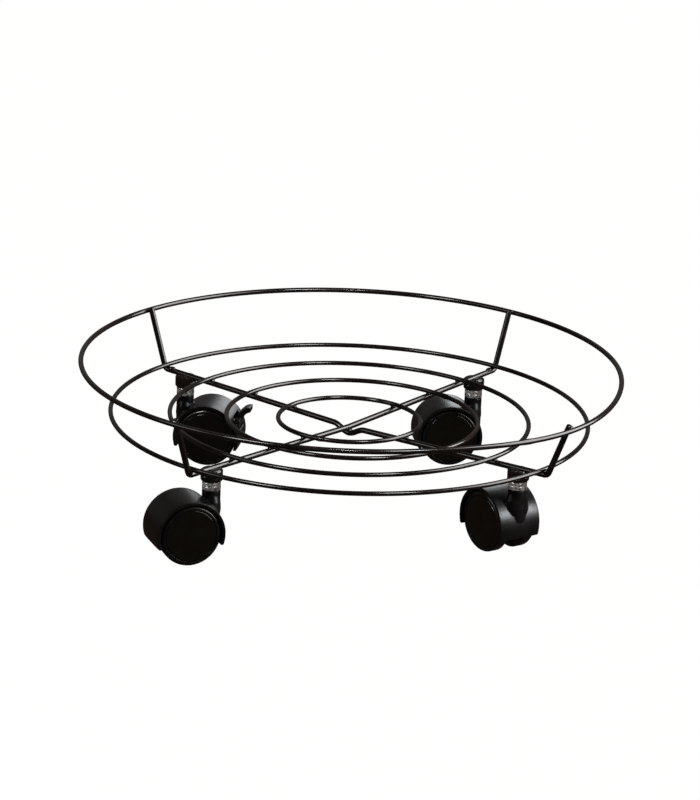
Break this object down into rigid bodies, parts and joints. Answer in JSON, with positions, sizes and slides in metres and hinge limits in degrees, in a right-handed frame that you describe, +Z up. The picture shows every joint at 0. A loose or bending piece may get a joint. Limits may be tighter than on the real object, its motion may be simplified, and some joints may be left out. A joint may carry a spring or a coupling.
{
  "type": "plant pot caddy",
  "caption": "Round welded wire plant pot caddy with a raised rim, dished ring base and twin-wheel swivel castors, one with a foot brake.",
  "frame": {"origin": "on the floor, below the middle of the caddy", "axes": "+Z up; +Y to the back, the side with the braked castor; the two cross wires lie on the diagonals of X and Y"},
  "size_m": [0.3386, 0.3386, 0.0953],
  "materials": {
    "black_paint": "glossy black paint over round steel wire",
    "chrome_plate": "bright zinc or chrome plating on turned steel",
    "bright_steel": "bare bright steel",
    "black_nylon": "moulded black nylon, fine matt texture",
    "black_tread": "moulded black nylon tread, worn smooth",
    "black_gloss": "smooth glossy black plastic"
  },
  "bodies": {
    "frame": {"top_ring": "black_paint", "base_ring_outer": "black_paint", "base_ring_second": "black_paint", "base_ring_third": "black_paint", "base_ring_inner": "black_paint", "cross_wire_upper": "black_paint", "cross_wire_lower": "black_paint", "socket_front_left": "black_paint", "socket_front_right": "black_paint", "socket_back_left": "black_paint", "socket_back_right": "black_paint", "stem_front_left": "chrome_plate", "stem_front_right": "chrome_plate", "stem_back_left": "chrome_plate", "stem_back_right": "chrome_plate"},
    "castor_front_left": {"hood_front_left": "black_nylon", "axle_front_left": "bright_steel", "axle_clip_front_left_a": "bright_steel", "axle_clip_front_left_b": "bright_steel"},
    "wheel_front_left_a": {"wheel_front_left_a": "black_tread", "hub_cap_front_left_a": "black_gloss"},
    "wheel_front_left_b": {"wheel_front_left_b": "black_tread", "hub_cap_front_left_b": "black_gloss"},
    "castor_front_right": {"hood_front_right": "black_nylon", "axle_front_right": "bright_steel", "axle_clip_front_right_a": "bright_steel", "axle_clip_front_right_b": "bright_steel"},
    "wheel_front_right_a": {"wheel_front_right_a": "black_tread", "hub_cap_front_right_a": "black_gloss"},
    "wheel_front_right_b": {"wheel_front_right_b": "black_tread", "hub_cap_front_right_b": "black_gloss"},
    "castor_back_left": {"hood_back_left": "black_nylon", "axle_back_left": "bright_steel", "axle_clip_back_left_a": "bright_steel", "axle_clip_back_left_b": "bright_steel", "brake_pin_back_left": "bright_steel"},
    "wheel_back_left_a": {"wheel_back_left_a": "black_tread", "hub_cap_back_left_a": "black_gloss"},
    "wheel_back_left_b": {"wheel_back_left_b": "black_tread", "hub_cap_back_left_b": "black_gloss"},
    "brake_back_left": {"brake_lever_back_left": "black_nylon"},
    "castor_back_right": {"hood_back_right": "black_nylon", "axle_back_right": "bright_steel", "axle_clip_back_right_a": "bright_steel", "axle_clip_back_right_b": "bright_steel"},
    "wheel_back_right_a": {"wheel_back_right_a": "black_tread", "hub_cap_back_right_a": "black_gloss"},
    "wheel_back_right_b": {"wheel_back_right_b": "black_tread", "hub_cap_back_right_b": "black_gloss"}
  },
  "joints": [
    {"name": "swivel_front_left", "type": "hinge", "parent": "frame", "child": "castor_front_left", "pos_m": [-0.09228, -0.09228, 0.034], "axis": [0, 0, 1], "continuous": true},
    {"name": "spin_front_left_a", "type": "hinge", "parent": "castor_front_left", "child": "wheel_front_left_a", "pos_m": [-0.10822, -0.09655, 0.019], "axis": [0.2588, -0.9659, 0], "continuous": true},
    {"name": "spin_front_left_b", "type": "hinge", "parent": "castor_front_left", "child": "wheel_front_left_b", "pos_m": [-0.10822, -0.09655, 0.019], "axis": [0.2588, -0.9659, 0], "continuous": true},
    {"name": "swivel_front_right", "type": "hinge", "parent": "frame", "child": "castor_front_right", "pos_m": [0.09351, -0.09031, 0.034], "axis": [0, 0, 1], "continuous": true},
    {"name": "spin_front_right_a", "type": "hinge", "parent": "castor_front_right", "child": "wheel_front_right_a", "pos_m": [0.08577, -0.07574, 0.019], "axis": [-0.8829, -0.4695, 0], "continuous": true},
    {"name": "spin_front_right_b", "type": "hinge", "parent": "castor_front_right", "child": "wheel_front_right_b", "pos_m": [0.08577, -0.07574, 0.019], "axis": [-0.8829, -0.4695, 0], "continuous": true},
    {"name": "swivel_back_left", "type": "hinge", "parent": "frame", "child": "castor_back_left", "pos_m": [-0.09639, 0.09308, 0.034], "axis": [0, 0, 1], "continuous": true},
    {"name": "spin_back_left_a", "type": "hinge", "parent": "castor_back_left", "child": "wheel_back_left_a", "pos_m": [-0.08045, 0.08881, 0.019], "axis": [0.2588, 0.9659, 0], "continuous": true},
    {"name": "spin_back_left_b", "type": "hinge", "parent": "castor_back_left", "child": "wheel_back_left_b", "pos_m": [-0.08045, 0.08881, 0.019], "axis": [0.2588, 0.9659, 0], "continuous": true},
    {"name": "brake_back_left", "type": "hinge", "parent": "castor_back_left", "child": "brake_back_left", "pos_m": [-0.06172, 0.08379, 0.0302], "axis": [0.2588, 0.9659, 0], "range_deg": [0, 12]},
    {"name": "swivel_back_right", "type": "hinge", "parent": "frame", "child": "castor_back_right", "pos_m": [0.09157, 0.09157, 0.034], "axis": [0, 0, 1], "continuous": true},
    {"name": "spin_back_right_a", "type": "hinge", "parent": "castor_back_right", "child": "wheel_back_right_a", "pos_m": [0.07508, 0.09099, 0.019], "axis": [0.0349, -0.9994, 0], "continuous": true},
    {"name": "spin_back_right_b", "type": "hinge", "parent": "castor_back_right", "child": "wheel_back_right_b", "pos_m": [0.07508, 0.09099, 0.019], "axis": [0.0349, -0.9994, 0], "continuous": true}
  ]
}
